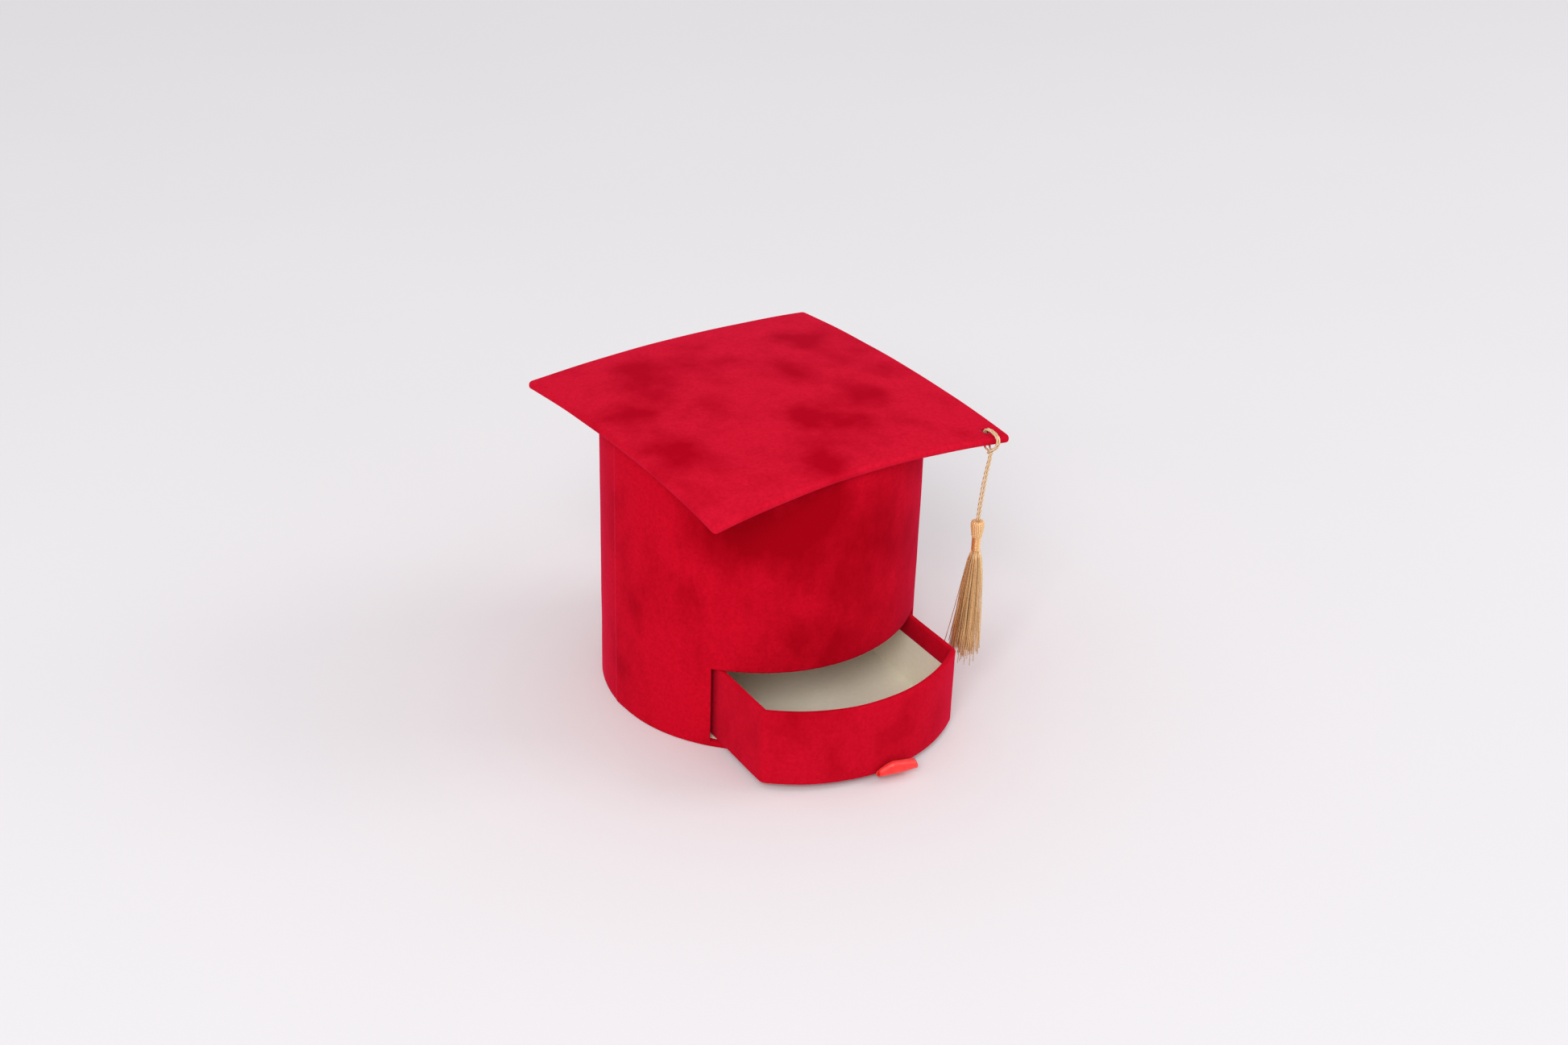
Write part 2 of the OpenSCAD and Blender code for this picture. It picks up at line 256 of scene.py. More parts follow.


# %% [markdown]
# ## Gold cord and silk
# The cord and the tassel are silky rayon of one gold. They are painted pale on the crowns of the threads and
# brown between them, as painted light and shade. The binding is painted pale on one side and deep on the
# other, and the skirt gets painted shade on one side. The meshes themselves know which is which and carry it
# as an attribute called `tone`, with the skirt's random shades, so the colour always sits on the right
# thread; the shader only adds a fine noise and a silky gloss.

# %% Gold finishes
def silk(name, pale, deep, per_metre):
    material, tree, shader = new_material(name)
    tone = add(tree, "ShaderNodeAttribute", attribute_name="tone").outputs["Fac"]
    fine = noise_of(tree, place(tree), per_metre, 2.0)
    uneven = between(tree, fine, 0.3, 0.7, -0.15, 0.15)
    mixed = add(tree, "ShaderNodeMath", {0: tone, 1: uneven}, operation="ADD").outputs["Value"]
    tree.links.new(blend_colour(tree, mixed, deep, pale), shader.inputs["Base Color"])
    tree.links.new(between(tree, fine, 0.3, 0.7, 0.20, 0.34), shader.inputs["Roughness"])
    shader.inputs["Specular IOR Level"].default_value = 1.0
    shader.inputs["Metallic"].default_value = 0.15
    shader.inputs["Sheen Weight"].default_value = 0.2
    shader.inputs["Sheen Tint"].default_value = (1.0, 0.85, 0.6, 1)
    raised(tree, shader, fine, 0.15, 0.0001)
    return material


gold_cord = silk("gold_cord", (1.0, 0.76, 0.46, 1), (0.42, 0.23, 0.09, 1), 2500)
gold_silk = silk("gold_silk", (1.0, 0.70, 0.33, 1), (0.58, 0.22, 0.05, 1), 1800)
print("gold:", gold_cord.name, gold_silk.name)

# %% [markdown]
# ## The floor and the light
# The floor is one wide sheet of pale cloth. Most of the light is an even pale surround. A big soft panel
# to the left of the camera throws a faint shadow to the back, and a weaker one lights the right side.
# A surround painted like a studio could light the box too, but two panels are easy to move.

# %% Floor
FLOOR_REACH = 40
WEAVE_PER_METRE = 1200
cloth, cloth_tree, cloth_shader = new_material("pale_cloth")
cloth_place = place(cloth_tree)
cloth_tone = blend_colour(
    cloth_tree, noise_of(cloth_tree, cloth_place, 3, 3.0), (0.79, 0.775, 0.79, 1), (0.82, 0.805, 0.825, 1)
)
cloth_tree.links.new(cloth_tone, cloth_shader.inputs["Base Color"])
cloth_shader.inputs["Roughness"].default_value = 0.95
cloth_shader.inputs["Specular IOR Level"].default_value = 0.05
raised(cloth_tree, cloth_shader, noise_of(cloth_tree, cloth_place, WEAVE_PER_METRE, 2.0), 0.15, 0.3 * MM)

floor_bm = bmesh.new()
bmesh.ops.create_grid(floor_bm, x_segments=2, y_segments=2, size=FLOOR_REACH)
floor_mesh = bpy.data.meshes.new("floor")
floor_bm.to_mesh(floor_mesh)
floor_bm.free()
floor_mesh.materials.append(cloth)
floor = bpy.data.objects.new("floor", floor_mesh)
bpy.context.scene.collection.objects.link(floor)
print("floor:", 2 * FLOOR_REACH, "m wide")

# %% Lights
LIT_POINT = (0, 0, 0.05)
SURROUND = 0.73


def soft_light(name, place_at, size, power):
    data = bpy.data.lights.new(name, "AREA")
    data.shape = "SQUARE"
    data.size = size
    data.energy = power
    lamp = bpy.data.objects.new(name, data)
    bpy.context.scene.collection.objects.link(lamp)
    lamp.location = place_at
    lamp.rotation_mode = "QUATERNION"
    lamp.rotation_quaternion = (Vector(LIT_POINT) - Vector(place_at)).to_track_quat("-Z", "Y")


soft_light("key", (-1.75, -1.95, 2.05), size=1.4, power=51)
soft_light("side", (2.3, -1.1, 1.7), size=1.2, power=16)

world = bpy.data.worlds.new("surround")
world.use_nodes = True
background = world.node_tree.nodes["Background"]
background.inputs["Color"].default_value = (1.0, 0.99, 1.0, 1)
background.inputs["Strength"].default_value = SURROUND
bpy.context.scene.world = world
bpy.context.scene.view_settings.view_transform = "Standard"
print("lights: key, side and a pale surround")


# %% [markdown]
# ## Small tools of the bench
# Each piece is built in a bmesh and then handed to `dress`, which makes the object, gives it its finish,
# puts it on its body and hides the CAD solids it stands for. `cut_every` slices a mesh with parallel
# planes, so that a large flat face gets enough points to bend, and `soften` moves points a little along
# their normals by a smooth noise, because hand-wrapped cloth is never quite flat. `next_ring` extrudes
# a ring of edges once, and is all that a tube needs.

# %% Helpers for meshes
def dress(bm, name, finish, body, stands_for=()):
    bmesh.ops.recalc_face_normals(bm, faces=bm.faces)
    mesh = bpy.data.meshes.new(name)
    bm.to_mesh(mesh)
    bm.free()
    for face in mesh.polygons:
        face.use_smooth = True
    mesh.materials.append(finish)
    piece = bpy.data.objects.new(name, mesh)
    bpy.context.scene.collection.objects.link(piece)
    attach(piece, body)
    if stands_for:
        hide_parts(*stands_for)
    print(f"{name}: {len(mesh.polygons)} faces on {body}")
    return piece


def everything(bm):
    return bm.verts[:] + bm.edges[:] + bm.faces[:]


def cut(bm, at, across, drop_outer=False):
    bmesh.ops.bisect_plane(
        bm, geom=everything(bm), dist=NEAR / 10, plane_co=at, plane_no=across, clear_outer=drop_outer
    )


def cut_every(bm, axis, low, high, step):
    across = Vector((0, 0, 0))
    across[axis] = 1
    count = max(1, round((high - low) / step))
    for i in range(1, count):
        cut(bm, across * (low + (high - low) * i / count), across)


def soften(bm, amount, size, seed):
    bm.normal_update()
    moves = [v.normal * amount * noise.noise(v.co / size + Vector((seed, 0, 0))) for v in bm.verts]
    for v, move in zip(bm.verts, moves):
        v.co += move


def edges_where(bm, test):
    return [e for e in bm.edges if all(test(v.co) for v in e.verts)]


def round_off(bm, edges, radius, segments=4, clamp=True):
    bmesh.ops.bevel(
        bm, geom=edges, offset=radius, offset_type="OFFSET", segments=segments, profile=0.5,
        affect="EDGES", material=-1, clamp_overlap=clamp,
    )


def only(kind, geom):
    return [g for g in geom if isinstance(g, kind)]


def grow_from(bm, edges):
    made = bmesh.ops.extrude_edge_only(bm, edges=edges)["geom"]
    return only(bmesh.types.BMVert, made), only(bmesh.types.BMEdge, made)


def next_ring(bm, ring, edges):
    """The new ring's points, in the old ring's order, and its edges."""
    grown, made = grow_from(bm, edges)
    fresh = set(grown)
    moved = [next(e.other_vert(v) for e in v.link_edges if e.other_vert(v) in fresh) for v in ring]
    return moved, [e for e in made if fresh.issuperset(e.verts)]


print("mesh tools: dress, cut, cut_every, soften, round_off, grow_from, next_ring")

# %% [markdown]
# A brushed patch is a soft spot on the cloth; on the drum some of the patches are painted shade instead.
# Patches could be painted on an image, but a value on each point needs no image and stays with the
# cloth. The function below gives every point of a mesh the darkness of the patches near it. Points are
# first led astray by a wide and a fine noise, so no patch comes out round, and overlapping patches
# deepen one another but never pass full dark. The noise of vectors starts from the clock unless it is
# given a seed, so it gets one, and the patches come out the same each time.

# %% Brushed patches and painted shade
ASTRAY = ((21 * MM, 9 * MM), (8 * MM, 4 * MM))
BRUSH_SEED = 33


def brush_and_shade(bm, patches):
    noise.seed_set(BRUSH_SEED)
    nap_and_shade = bm.verts.layers.float.new("nap_and_shade")
    for v in bm.verts:
        strayed = v.co.copy()
        for size, reach in ASTRAY:
            strayed += noise.noise_vector(v.co / size) * reach
        light = 1.0
        for centre, radius, depth in patches:
            light *= 1 - depth * math.exp(-((strayed - centre).length / radius) ** 2)
        v[nap_and_shade] = 1 - light


print("patches stray by up to", [reach for _, reach in ASTRAY], "m")

# %% [markdown]
# ## The drum's velvet
# The drum is a tube wrapped in one strip of velvet paper. A Boolean could cut the drawer's slot, but it
# leaves ragged faces that don't round well, so the tube starts as an open cylinder and planes cut the
# outline of the slot into it. The faces inside the outline go, and the slot's rim is grown inwards
# through the wall, so the cloth turns into the slot as the real one does. Rounding that rim gives the
# soft folded edge; uprights close to it go first, to leave it room. At the side the strip overlaps
# itself in a fine upright seam.

# %% Sizes read from the frame
SLOT_GAP = 2.7 * MM
drum_low, drum_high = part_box("drum_wrap")
drum_r = drum_high.x
wall_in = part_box("base_board")[1].x
slot_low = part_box("bay_floor_paper")[1].z
drawer_low, drawer_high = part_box("drawer_wrap")
slot_high = drawer_high.z + (drawer_low.z - slot_low)
slot_half = drawer_high.x + SLOT_GAP
print("drum radius", round(drum_r, 4), "slot", round(2 * slot_half, 4), "by", round(slot_high - slot_low, 4))

# %% Drum tube
DRUM_SIDES = 180
ROW = 5 * MM
SEAM_AT = math.radians(177)
SEAM_HALF = math.radians(0.15)

bm = bmesh.new()
height = drum_high.z - drum_low.z
bmesh.ops.create_cone(
    bm, cap_ends=False, segments=DRUM_SIDES, radius1=drum_r, radius2=drum_r, depth=height
)
bmesh.ops.translate(bm, verts=bm.verts, vec=(0, 0, drum_low.z + height / 2))
for side in (-1, 1):
    cut(bm, (side * slot_half, 0, 0), (1, 0, 0))
    seam_edge = SEAM_AT + side * SEAM_HALF
    cut(bm, (0, 0, 0), (-math.sin(seam_edge), math.cos(seam_edge), 0))
cut(bm, (0, 0, slot_low), (0, 0, 1))
cut(bm, (0, 0, slot_high), (0, 0, 1))
cut_every(bm, 2, slot_high, drum_high.z, ROW)
cut_every(bm, 2, slot_low, slot_high, ROW)
print("drum tube:", len(bm.faces), "faces")

# %% The drawer's slot in the drum
SLOT_ROUND = 1.3 * MM
TOP_ROUND = 0.9 * MM
FOOT_ROUND = 0.25 * MM
TOP_TURN_IN = 6 * MM
PAPER = 0.15 * MM
ROUNDING_ROOM = 1.6 * MM


def near_slot_side(e):
    upright = abs(e.verts[0].co.z - e.verts[1].co.z) > NEAR
    off = [abs(abs(v.co.x) - slot_half) for v in e.verts]
    return upright and min(off) > NEAR and max(off) < ROUNDING_ROOM and e.verts[0].co.y < 0


spare = [e for e in bm.edges if near_slot_side(e)]
bmesh.ops.dissolve_edges(bm, edges=spare, use_verts=True)


def in_slot(co):
    across = abs(co.x) < slot_half + NEAR
    return across and slot_low - NEAR < co.z < slot_high + NEAR and co.y < 0


bmesh.ops.delete(bm, geom=[f for f in bm.faces if in_slot(f.calc_center_median())], context="FACES")
rims = [e for e in bm.edges if e.is_boundary]
slot_rim = [e for e in rims if in_slot(e.verts[0].co) and in_slot(e.verts[1].co)]
top_rim = [e for e in rims if min(v.co.z for v in e.verts) > drum_high.z - NEAR]
foot_rim = [e for e in rims if max(v.co.z for v in e.verts) < drum_low.z + NEAR]
inner, _ = grow_from(bm, slot_rim)
for v in inner:
    v.co.y = -math.sqrt(wall_in**2 - v.co.x**2)
for rim, reach, drop in ((top_rim, wall_in - PAPER, TOP_TURN_IN), (foot_rim, wall_in, 0)):
    ring, ring_edges = grow_from(bm, rim)
    bmesh.ops.scale(bm, vec=(reach / drum_r, reach / drum_r, 1), verts=ring)
    if drop:
        lower, _ = grow_from(bm, ring_edges)
        bmesh.ops.translate(bm, vec=(0, 0, -drop), verts=lower)
round_off(bm, [e for e in slot_rim if max(v.co.z for v in e.verts) > slot_low + NEAR], SLOT_ROUND)
round_off(bm, [e for e in top_rim if e.is_valid], TOP_ROUND)
round_off(bm, [e for e in foot_rim if e.is_valid], FOOT_ROUND, 2)
print("slot cut, with", len(slot_rim), "edges on its rim")

# %% The overlap at the side
SEAM_WIDTH = math.radians(8)
SEAM_RISE = 0.35 * MM
OUTER_SKIN = 0.5 * MM
for v in bm.verts:
    turn = math.atan2(v.co.y, v.co.x) % (2 * math.pi) - SEAM_AT
    out = math.hypot(v.co.x, v.co.y)
    if 0 < turn < SEAM_WIDTH and out > drum_r - OUTER_SKIN:
        rise = SEAM_RISE * (1 - turn / SEAM_WIDTH) ** 2
        v.co += Vector((v.co.x, v.co.y, 0)) / out * rise
soften(bm, amount=0.18 * MM, size=22 * MM, seed=3)
print("seam rises", SEAM_RISE, "m")

# %% [markdown]
# The drum's patches are written as degrees round it, height, radius and depth, with the lengths in
# millimetres. The broad one at 277 degrees is painted shade on the side to the camera's right, and the
# deep ones high on the front are a painted shadow of the lid. The others listed are brushed pile, and
# the side away from the seam gets random ones.

# %% Brushed patches and painted shade of the drum
# Painted shade: the broad patch at 277 degrees darkens the side to the camera's right. The three deep ones
# at 220 to 256 degrees, 116 to 124 mm up, paint the lid's shadow.
DRUM_BRUSHED_AND_SHADE = [
    (277, 94, 34, 0.55), (296, 94, 14, 0.45), (284, 64, 9, 0.4), (256, 90, 11, 0.3), (249, 55, 13, 0.45),
    (264, 51, 14, 0.45), (208, 83, 15, 0.4), (191, 61, 10, 0.45), (186, 26, 10, 0.35), (192, 39, 8, 0.3),
    (218, 70, 9, 0.25), (238, 116, 22, 1.0), (256, 122, 20, 0.8), (220, 124, 14, 0.6)
]
scatter = random.Random(4)
for _ in range(16):
    where = scatter.uniform(310, 530), scatter.uniform(15, 125)
    DRUM_BRUSHED_AND_SHADE.append((*where, scatter.uniform(9, 20), scatter.uniform(0.2, 0.6)))


def on_drum(degrees, z):
    turn = math.radians(degrees)
    return Vector((drum_r * math.cos(turn), drum_r * math.sin(turn), z * MM))


brush_and_shade(bm, [(on_drum(degrees, z), radius * MM, depth) for degrees, z, radius, depth in DRUM_BRUSHED_AND_SHADE])
dress(bm, "drum_velvet", velvet_round, "drum", ["drum_wrap"])

# %% [markdown]
# ## The lid
# The lid is a thin square board bent into a very shallow dome and wrapped in the same velvet, with a
# second sheet under it. Cutting a square out of a big sphere would leave its edges leaning, so a cube
# gives each slab instead. Its upright corners and its long edges are rounded, it is sliced into small
# cells, and every point drops along a large sphere. The two front corners have settled by two or three
# millimetres, so `settle` moves whatever lies near them.

# %% Lid slabs
LID_TURN = math.radians(3)
LID_SIDE = 158 * MM
LID_THICK = 3.65 * MM
DOME = 900 * MM
HOLE = Vector((71.0, -73.9, 0)) * MM
SETTLE_FROM = 76 * MM
SETTLE_OVER = 35 * MM
SETTLE_MOST = 1.1
in_lid = Matrix.Rotation(LID_TURN, 4, "Z")
lid_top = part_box("lid_wrap")[1].z
half = LID_SIDE / 2


def settle(co):
    """How far a point in the lid's own directions has moved with the worn front corners."""
    share = min(SETTLE_MOST, max(0.0, (math.hypot(co.x, co.y) - SETTLE_FROM) / SETTLE_OVER))
    share *= min(1.0, max(0.0, -co.y / half))
    to_right = max(-1.0, min(1.0, co.x / half))
    outwards = 1.4 * max(0.0, to_right)
    return Vector((outwards, -1.7 - 0.5 * to_right, -2.6 + 0.8 * to_right)) * MM * share


def lid_slab(side, thick, below_top, corner, edge, step):
    bm = bmesh.new()
    bmesh.ops.create_cube(bm, size=1)
    bmesh.ops.scale(bm, vec=(side, side, thick), verts=bm.verts)
    uprights = [e for e in bm.edges if abs(e.verts[0].co.z - e.verts[1].co.z) > thick / 2]
    round_off(bm, uprights, corner, 5)
    for level in (-thick / 2, thick / 2):
        round_off(bm, edges_where(bm, lambda co: abs(co.z - level) < NEAR), edge, 5)
    for axis in (0, 1):
        cut_every(bm, axis, -side / 2, side / 2, step)
    for v in bm.verts:
        fall = DOME - math.sqrt(DOME**2 - v.co.x**2 - v.co.y**2)
        v.co.z += lid_top - below_top - thick / 2 - fall
        v.co += settle(v.co)
    return bm


print("lid:", LID_SIDE, "m square, top at", round(lid_top, 4))

# %% [markdown]
# Three slabs are stacked: the velvet that wraps the board, the board inside it, and the velvet sheet
# below. The lid's patches are written as x, y, radius and depth, in millimetres and in the lid's own
# directions, before it is turned on the drum.

# %% The lid's three layers
LID_BRUSHED = [
    (-35, 51, 15, 1.0), (-7, 57, 12, 0.6), (-63, 16, 15, 0.9), (-36, 21, 12, 0.6), (-24, -2, 9, 0.5),
    (6, 39, 9, 0.35), (55, 43, 15, 1.0), (58, 15, 11, 0.6), (26, 12, 13, 0.9), (71, -6, 9, 0.6),
    (3, -28, 13, 1.0), (37, -23, 13, 0.9), (15, -42, 10, 0.8), (39, -40, 8, 0.4), (-14, -68, 14, 1.0),
    (19, -62, 10, 0.4), (-62, -21, 15, 0.8), (-72, -39, 10, 0.7), (-54, -44, 10, 0.4), (-73, -57, 10, 0.3)
]
BRUSH_LEVEL = 145
bm = lid_slab(LID_SIDE, LID_THICK, below_top=0, corner=2.2 * MM, edge=1.5 * MM, step=3 * MM)
brush_and_shade(bm, [(Vector((x, y, BRUSH_LEVEL)) * MM, radius * MM, depth) for x, y, radius, depth in LID_BRUSHED])
soften(bm, amount=0.2 * MM, size=26 * MM, seed=11)
bmesh.ops.transform(bm, matrix=in_lid, verts=bm.verts)
lid_velvet = dress(bm, "lid_velvet", velvet_flat, "lid", ["lid_wrap"])

bm = lid_slab(
    LID_SIDE - 1.6 * MM, 2.4 * MM, below_top=0.65 * MM, corner=1.6 * MM, edge=0.3 * MM, step=8 * MM
)
bmesh.ops.transform(bm, matrix=in_lid, verts=bm.verts)
lid_core = dress(bm, "lid_core", greyboard, "lid", ["lid_board"])

bm = lid_slab(
    LID_SIDE - 28 * MM, 0.5 * MM, below_top=3.35 * MM, corner=2 * MM, edge=0.15 * MM, step=5 * MM
)
brush_and_shade(bm, [])
bmesh.ops.transform(bm, matrix=in_lid, verts=bm.verts)
dress(bm, "lid_under_velvet", velvet_flat, "lid", ["lid_underside"])

# %% [markdown]
# A round cutter drills the corner hole for the tassel cord through the velvet and the board. This hole
# is small, plain and half hidden by the cord, so a Boolean is good enough here. Its result is taken as
# the new mesh, and the cutter goes.

# %% The hole in its corner
HOLE_R = 1.8 * MM
DRILL = 30 * MM
cutter_bm = bmesh.new()
bmesh.ops.create_cone(cutter_bm, cap_ends=True, segments=24, radius1=HOLE_R, radius2=HOLE_R, depth=DRILL)
bmesh.ops.translate(cutter_bm, verts=cutter_bm.verts, vec=in_lid @ HOLE + Vector((0, 0, lid_top)))
cutter_mesh = bpy.data.meshes.new("hole_cutter")
cutter_bm.to_mesh(cutter_mesh)
cutter_bm.free()
cutter = bpy.data.objects.new("hole_cutter", cutter_mesh)
bpy.context.scene.collection.objects.link(cutter)
for piece in (lid_velvet, lid_core):
    hole = piece.modifiers.new("hole", "BOOLEAN")
    hole.object = cutter
    hole.operation = "DIFFERENCE"
    bpy.context.view_layer.update()
    seen = piece.evaluated_get(bpy.context.evaluated_depsgraph_get())
    drilled = bpy.data.meshes.new_from_object(seen)
    piece.modifiers.clear()
    piece.data = drilled
    print(piece.name, "drilled:", len(drilled.polygons), "faces")
bpy.data.objects.remove(cutter)

# %% [markdown]
# ## The drawer's velvet
# The drawer is a tray with straight sides and one curved end. It could be five boards, but the velvet
# is one skin with no gaps at its corners, so it is made as one shell. Its plan is a disc trimmed by
# three planes. Pushed up it becomes a block; the top face is inset by the wall's thickness and pushed
# down by the depth that the cloth is turned in. Below that the wall steps back behind the paper lining.

# %% Drawer block
FRONT_SIDES = 240
CORNER_ROOM = 2.2 * MM
FRONT_R = 79 * MM
front_y = drawer_low.y
back_y = drawer_high.y
side_x = drawer_high.x
front_centre = front_y + FRONT_R

bm = bmesh.new()
bmesh.ops.create_circle(bm, cap_ends=True, segments=FRONT_SIDES, radius=FRONT_R)
bmesh.ops.translate(bm, verts=bm.verts, vec=(0, front_centre, drawer_low.z))
cut(bm, (side_x, 0, 0), (1, 0, 0), True)
cut(bm, (-side_x, 0, 0), (-1, 0, 0), True)
cut(bm, (0, back_y, 0), (0, 1, 0), True)
spare = [v for v in bm.verts if v.co.y < 0 and NEAR < side_x - abs(v.co.x) < CORNER_ROOM]
bmesh.ops.dissolve_verts(bm, verts=spare)
drawer_h = drawer_high.z - drawer_low.z
pushed = bmesh.ops.extrude_face_region(bm, geom=bm.faces[:])["geom"]
bmesh.ops.translate(bm, vec=(0, 0, drawer_h), verts=only(bmesh.types.BMVert, pushed))
print("drawer block", round(2 * side_x, 4), "by", round(back_y - front_y, 4), "by", round(drawer_h, 4))

# %% Drawer well
WALL = 2.6 * MM
STEP_BACK = 0.5 * MM
TURN_IN = 11 * MM
ON_WALL = 1e-5
tray_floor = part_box("drawer_floor")[1].z

top = max(bm.faces, key=lambda f: f.calc_center_median().z)
bmesh.ops.inset_region(bm, faces=[top], thickness=WALL, use_even_offset=True)
top = max(bm.faces, key=lambda f: (round(f.calc_center_median().z, 6), f.calc_area()))
pushed = bmesh.ops.extrude_face_region(bm, geom=[top])["geom"]
bmesh.ops.delete(bm, geom=[top], context="FACES_ONLY")
bmesh.ops.translate(bm, vec=(0, 0, -TURN_IN), verts=only(bmesh.types.BMVert, pushed))
well = only(bmesh.types.BMFace, pushed)
well_rim = [e for f in well for e in f.edges]
bmesh.ops.delete(bm, geom=well, context="FACES_ONLY")
stepped, stepped_edges = grow_from(bm, well_rim)
for v in stepped:
    if abs(v.co.y - (back_y - WALL)) < ON_WALL:
        v.co.y += STEP_BACK
    on_front = abs(math.hypot(v.co.x, v.co.y - front_centre) - (FRONT_R - WALL)) < ON_WALL
    if abs(abs(v.co.x) - (side_x - WALL)) < ON_WALL:
        v.co.x += math.copysign(STEP_BACK, v.co.x)
    if on_front:
        v.co.y = front_centre - math.sqrt((FRONT_R - WALL + STEP_BACK) ** 2 - v.co.x**2)
deep, deep_edges = grow_from(bm, stepped_edges)
for v in deep:
    v.co.z = tray_floor
bmesh.ops.contextual_create(bm, geom=deep_edges)
bm.normal_update()
print("drawer well", round(drawer_high.z - tray_floor, 4), "m deep")

# %% [markdown]
# Folded velvet has no sharp edge. The upright corners are rounded first, then the rim and the foot, whose
# edges are told from the others by the sharp angle between their faces. Last, the large faces are cut
# into cells, so that they can be softened and brushed. The patches are x, y, z, radius and depth.

# %% Drawer edges and velvet
CORNER_ROUND = 1.7 * MM
RIM_ROUND = 0.8 * MM
RIM_KEPT = 3 * MM


def is_corner(e):
    full = abs(e.verts[0].co.z - e.verts[1].co.z) > drawer_h - 1 * MM
    return full and len(e.link_faces) == 2 and e.calc_face_angle(0) > math.radians(20)


def sharp_edges_at(level):
    flat = edges_where(bm, lambda co: abs(co.z - level) < NEAR)
    return [e for e in flat if e.calc_face_angle(0) > math.radians(45)]


round_off(bm, [e for e in bm.edges if is_corner(e)], CORNER_ROUND, 5)
round_off(bm, sharp_edges_at(drawer_high.z) + sharp_edges_at(drawer_low.z), RIM_ROUND, clamp=False)
cut_every(bm, 1, front_y, back_y, 6 * MM)
cut_every(bm, 0, -side_x, side_x, 7 * MM)
cut_every(bm, 2, drawer_low.z + RIM_KEPT, drawer_high.z - RIM_KEPT, 6 * MM)
soften(bm, amount=0.15 * MM, size=20 * MM, seed=5)
DRAWER_BRUSHED = [
    (-53, -82, 28, 8, 0.2), (-38, -100, 36, 15, 0.45), (6, -110, 26, 11, 0.5), (36, -101, 12, 9, 0.3),
    (-21, -107, 15, 10, 0.25), (52, -60, 20, 14, 0.5), (20, 11, 20, 18, 0.4)
]
brush_and_shade(bm, [(Vector((x, y, z)) * MM, radius * MM, depth) for x, y, z, radius, depth in DRAWER_BRUSHED])
dress(bm, "drawer_velvet", velvet_box, "drawer", ["drawer_wrap"])

# %% [markdown]
# ## The satin pull ribbon
# A short length of satin ribbon is folded into a flat loop and glued under the drawer floor. Cloth could
# be simulated, but so short and stiff a loop hardly sags. The loop's section is drawn once, as reach
# and height in millimetres, and swept across the ribbon's width. It stands a little higher near its
# left end and sits lower at its right end, as a loop that is often pulled does. `smooth_line` draws a
# rounded line through a few points, and the cords below use it too.

# %% Lines through points
def smooth_line(points, per_span):
    """A rounded line through points, as Catmull and Rom draw it."""
    line = [Vector(p) for p in points]
    ends = [line[0] * 2 - line[1], *line, line[-1] * 2 - line[-2]]
    made = []
    for a, b, c, d in zip(ends, ends[1:], ends[2:], ends[3:]):
        for i in range(per_span):
            t = i / per_span
            bend = (a * 2 - b * 5 + c * 4 - d) * t**2 + (b * 3 - a - c * 3 + d) * t**3
            made.append((b * 2 + (c - a) * t + bend) / 2)
    return [*made, line[-1]]


def length_of(line):
    return sum((b - a).length for a, b in zip(line, line[1:]))


# %% Ribbon loop
TAB_SECTION = [
    (0.2, 3.6), (0.5, 5.4), (1.3, 7.5), (2.4, 9.0), (3.8, 9.5), (5.1, 8.8), (6.0, 7.4), (6.2, 6.0),
    (5.6, 4.8), (4.2, 4.0), (2.2, 3.6), (0.3, 3.5)
]
TAB_THICK = 0.35 * MM
TAB_COLUMNS = 18
LEFT_SHARE = 0.47
REACH_FULL_AT = 0.6
LIFT_PEAK = 1.10
LIFT_PEAK_AT = 0.42
LIFT_DROOP = 0.64

tab_low, tab_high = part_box("pull_tab")
tab_root_y = tab_high.y
section = smooth_line([(0, -a * MM, z * MM) for a, z in TAB_SECTION], 4)
bm = bmesh.new()
uv = bm.loops.layers.uv.new("weave")
across = bm.verts.layers.float.new("across")
along = bm.verts.layers.float.new("along")
line = [bm.verts.new(p + Vector((tab_low.x, tab_root_y, 0))) for p in section]
for i, v in enumerate(line):
    v[along] = i / (len(line) - 1)
edges = [bm.edges.new(pair) for pair in zip(line, line[1:])]
width = tab_high.x - tab_low.x
for _ in range(TAB_COLUMNS):
    grown, edges = grow_from(bm, edges)
    bmesh.ops.translate(bm, vec=(width / TAB_COLUMNS, 0, 0), verts=grown)
for v in bm.verts:
    s = (v.co.x - tab_low.x) / width
    v[across] = s
    reach = LEFT_SHARE + (1 - LEFT_SHARE) * math.sin(math.pi / 2 * min(1, s / REACH_FULL_AT))
    lift = LEFT_SHARE + (LIFT_PEAK - LEFT_SHARE) * math.sin(math.pi / 2 * min(1, s / LIFT_PEAK_AT))
    lift -= LIFT_DROOP * max(0, s - LIFT_PEAK_AT)
    v.co.y = tab_root_y + (v.co.y - tab_root_y) * reach
    v.co.z = tab_low.z + (v.co.z - tab_low.z) * lift
for face in bm.faces:
    for corner in face.loops:
        corner[uv].uv = (corner.vert[across], corner.vert[along])
pull_ribbon = dress(bm, "pull_ribbon", red_satin, "pull_tab", ["pull_tab"])
body = pull_ribbon.modifiers.new("thickness", "SOLIDIFY")
body.thickness = TAB_THICK
body.offset = 0

# %% [markdown]
# ## The tassel's cord
# One thin twisted cord carries the tassel. It is doubled: from the tassel's head the two strands rise to
# the lid's edge, pass under the board, up through the hole and back over the edge, where the doubled
# end turns behind the strands and holds them. The part round the lid rides on the lid; the hanging
# strands swing. Each route is one smooth line through listed points, in millimetres and in the
# lid's own directions: the middle of the pair, and half the space between its two strands.

